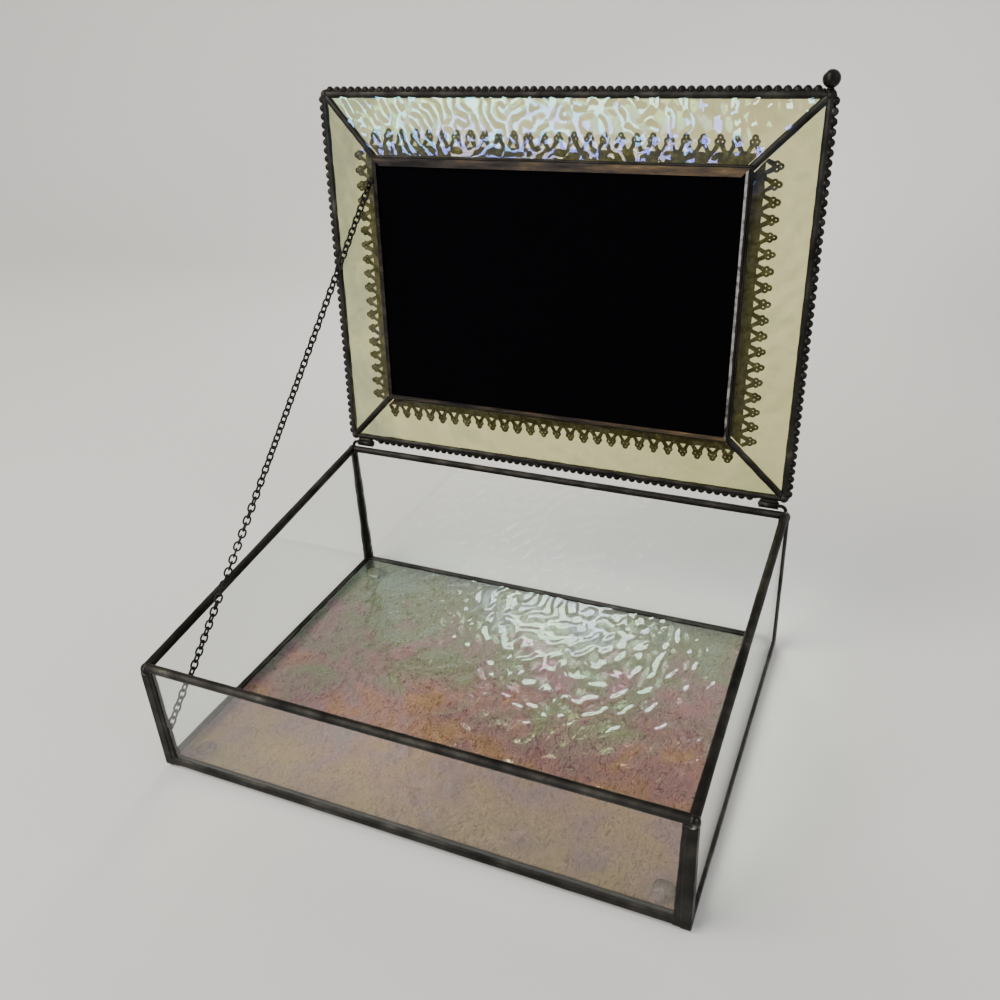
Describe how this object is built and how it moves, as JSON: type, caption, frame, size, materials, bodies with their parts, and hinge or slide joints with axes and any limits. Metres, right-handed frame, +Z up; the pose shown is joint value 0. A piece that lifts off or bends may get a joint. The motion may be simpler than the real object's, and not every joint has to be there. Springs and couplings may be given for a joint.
{
  "type": "glass casket box",
  "caption": "Hinged glass keepsake casket with a sloping rim, rippled iridescent bottom, dark solder seams and a picture-frame lid held open by a chain.",
  "frame": {"origin": "centre of the box's footprint, in the plane of the undersides of its feet", "axes": "+X to the right seen from the front, +Y to the back where the hinges are, +Z up; the lid stands open at rest"},
  "size_m": [0.2124, 0.1734, 0.2358],
  "materials": {
    "clear_glass": "clear float glass",
    "iridescent_ripple_glass": "clear rippled glass with an iridescent film",
    "iridescent_lid_glass": "rippled glass with an iridescent film, cream to green",
    "clear_vinyl": "clear soft bumper",
    "black_velvet": "black velvet on card",
    "brass_channel": "darkened brass",
    "patinated_lace": "pressed lace strip, dark patina",
    "patinated_brass": "black patina over brass",
    "patinated_chain": "black patina on chain wire",
    "patinated_edging": "black patina on scalloped strip",
    "patinated_ball": "black patina on a metal ball",
    "patinated_solder": "solder with black patina, rounded beads"
  },
  "bodies": {
    "box": {"bottom_glass": "iridescent_ripple_glass", "front_glass": "clear_glass", "back_glass": "clear_glass", "left_glass": "clear_glass", "right_glass": "clear_glass", "rim_seam_front": "patinated_solder", "rim_seam_back": "patinated_solder", "rim_seam_left": "patinated_solder", "rim_seam_right": "patinated_solder", "corner_seam_front_left": "patinated_solder", "corner_seam_front_right": "patinated_solder", "corner_seam_back_left": "patinated_solder", "corner_seam_back_right": "patinated_solder", "base_seam_front": "patinated_solder", "base_seam_back": "patinated_solder", "base_seam_left": "patinated_solder", "base_seam_right": "patinated_solder", "feet": "clear_vinyl", "hinge_pin_left": "patinated_brass", "hinge_pin_right": "patinated_brass", "chain_anchor_box": "patinated_chain"},
    "lid": {"lid_glass_front": "iridescent_lid_glass", "lid_glass_back": "iridescent_lid_glass", "lid_glass_left": "iridescent_lid_glass", "lid_glass_right": "iridescent_lid_glass", "edge_seam_front": "patinated_solder", "edge_seam_back": "patinated_solder", "edge_seam_left": "patinated_solder", "edge_seam_right": "patinated_solder", "edging_front": "patinated_edging", "edging_back": "patinated_edging", "edging_left": "patinated_edging", "edging_right": "patinated_edging", "mitre_seam_front_left": "patinated_solder", "mitre_seam_front_right": "patinated_solder", "mitre_seam_back_left": "patinated_solder", "mitre_seam_back_right": "patinated_solder", "picture_channel_front": "brass_channel", "picture_channel_back": "brass_channel", "picture_channel_left": "brass_channel", "picture_channel_right": "brass_channel", "filigree_front": "patinated_lace", "filigree_back": "patinated_lace", "filigree_left": "patinated_lace", "filigree_right": "patinated_lace", "picture_glass": "clear_glass", "backing_board": "black_velvet", "hinge_tube_left": "patinated_brass", "hinge_tube_right": "patinated_brass", "lift_ball": "patinated_ball", "chain_anchor_lid": "patinated_chain"},
    "chain_1": {"chain_1": "patinated_chain"},
    "chain_2": {"chain_2": "patinated_chain"},
    "chain_3": {"chain_3": "patinated_chain"},
    "chain_4": {"chain_4": "patinated_chain"},
    "chain_5": {"chain_5": "patinated_chain"},
    "chain_6": {"chain_6": "patinated_chain"}
  },
  "joints": [
    {"name": "lid_hinge", "type": "hinge", "parent": "box", "child": "lid", "pos_m": [0, 0.07864, 0.071], "axis": [-1, 0, 0], "range_deg": [-100.9, 0]},
    {"name": "chain_1_pivot", "type": "hinge", "parent": "box", "child": "chain_1", "pos_m": [-0.0999, -0.07274, 0.023], "axis": [-1, 0, 0], "range_deg": [0, 29.5], "deforming": ["chain_1"]},
    {"name": "chain_2_pivot", "type": "hinge", "parent": "chain_1", "child": "chain_2", "pos_m": [-0.09655, -0.04734, 0.05129], "axis": [-1, 0, 0], "range_deg": [0, 67.05], "deforming": ["chain_2"]},
    {"name": "chain_3_pivot", "type": "hinge", "parent": "chain_2", "child": "chain_3", "pos_m": [-0.0932, -0.02193, 0.07959], "axis": [-1, 0, 0], "range_deg": [-123.75, 0], "deforming": ["chain_3"]},
    {"name": "chain_4_pivot", "type": "hinge", "parent": "chain_3", "child": "chain_4", "pos_m": [-0.08985, 0.00348, 0.10788], "axis": [-1, 0, 0], "range_deg": [-95.33, 0], "deforming": ["chain_4"]},
    {"name": "chain_5_pivot", "type": "hinge", "parent": "chain_4", "child": "chain_5", "pos_m": [-0.0865, 0.02889, 0.13617], "axis": [-1, 0, 0], "range_deg": [-136.45, 0], "deforming": ["chain_5"]},
    {"name": "chain_6_pivot", "type": "hinge", "parent": "chain_5", "child": "chain_6", "pos_m": [-0.08315, 0.05429, 0.16446], "axis": [-1, 0, 0], "range_deg": [0, 176.94], "deforming": ["chain_6"]}
  ],
  "couplings": [
    {"joint": "chain_1_pivot", "follows": "lid_hinge", "ratio": -0.2874},
    {"joint": "chain_2_pivot", "follows": "lid_hinge", "ratio": -0.6596},
    {"joint": "chain_3_pivot", "follows": "lid_hinge", "ratio": 1.2215},
    {"joint": "chain_4_pivot", "follows": "lid_hinge", "ratio": 0.9398},
    {"joint": "chain_5_pivot", "follows": "lid_hinge", "ratio": 1.3474},
    {"joint": "chain_6_pivot", "follows": "lid_hinge", "ratio": -1.7487}
  ]
}
